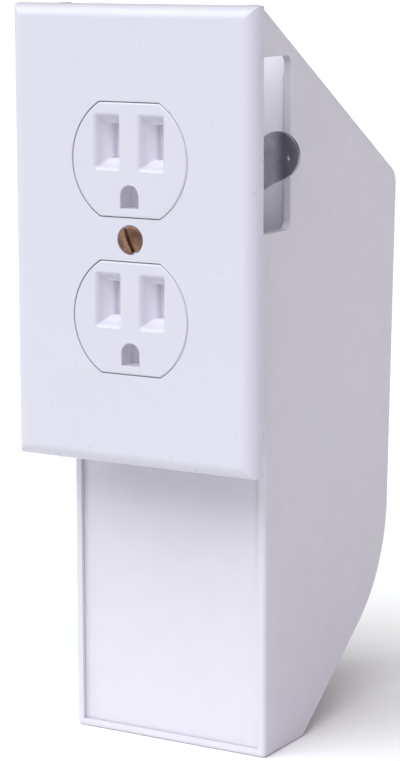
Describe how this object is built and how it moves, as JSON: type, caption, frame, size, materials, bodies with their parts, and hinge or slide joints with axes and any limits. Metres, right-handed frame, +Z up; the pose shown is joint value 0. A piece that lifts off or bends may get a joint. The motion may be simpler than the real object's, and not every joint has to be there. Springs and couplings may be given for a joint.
{
  "type": "outlet diversion safe",
  "caption": "Hidden wall safe behind a decoy duplex outlet: an open-topped box, and a screw that swings out a lever and draws it up to clamp the wall board.",
  "frame": {"origin": "on the axis of the cover screw, in the plane of the wall's face, which the back rim of the cover plate rests on", "axes": "+X to the right and +Z up as seen from the room, +Y into the wall"},
  "size_m": [0.0707, 0.0907, 0.1904],
  "materials": {
    "plate_plastic": "white moulded plastic, satin gloss",
    "socket_plastic": "white moulded plastic, satin gloss",
    "box_plastic": "white moulded plastic, fine matt texture",
    "divider_plastic": "white moulded plastic, a little lighter than the box",
    "brass": "dull brown brass, worn bright at the slot",
    "dark_steel": "dark grey zinc plated steel, smooth",
    "zinc_steel": "bright zinc plated steel"
  },
  "bodies": {
    "housing": {"wall_plate": "plate_plastic", "upper_receptacle": "socket_plastic", "lower_receptacle": "socket_plastic", "yoke_strap": "zinc_steel", "yoke_screw_top": "zinc_steel", "yoke_screw_bottom": "zinc_steel", "box_shell": "box_plastic", "front_panel": "box_plastic", "divider": "divider_plastic", "plate_screw_1": "zinc_steel", "plate_screw_2": "zinc_steel", "plate_screw_3": "zinc_steel", "plate_screw_4": "zinc_steel"},
    "screw": {"cover_screw": "brass", "retaining_ring": "zinc_steel", "stop_nut": "zinc_steel"},
    "bush": {"threaded_bush": "zinc_steel"},
    "lever": {"latch_lever": "dark_steel"}
  },
  "joints": [
    {"name": "screw_turn", "type": "hinge", "parent": "housing", "child": "screw", "pos_m": [0, 0, 0], "axis": [0, 1, 0], "range_deg": [-2162, 2882]},
    {"name": "clamp_draw", "type": "slide", "parent": "housing", "child": "bush", "axis": [0, -1, 0], "range_m": [-0.00476, 0.00635]},
    {"name": "lever_swing", "type": "hinge", "parent": "bush", "child": "lever", "pos_m": [0, 0.01638, 0], "axis": [0, 1, 0], "range_deg": [-89, 18]}
  ],
  "couplings": [
    {"joint": "screw_turn", "follows": "clamp_draw", "rad_per_m": 7915.8}
  ]
}
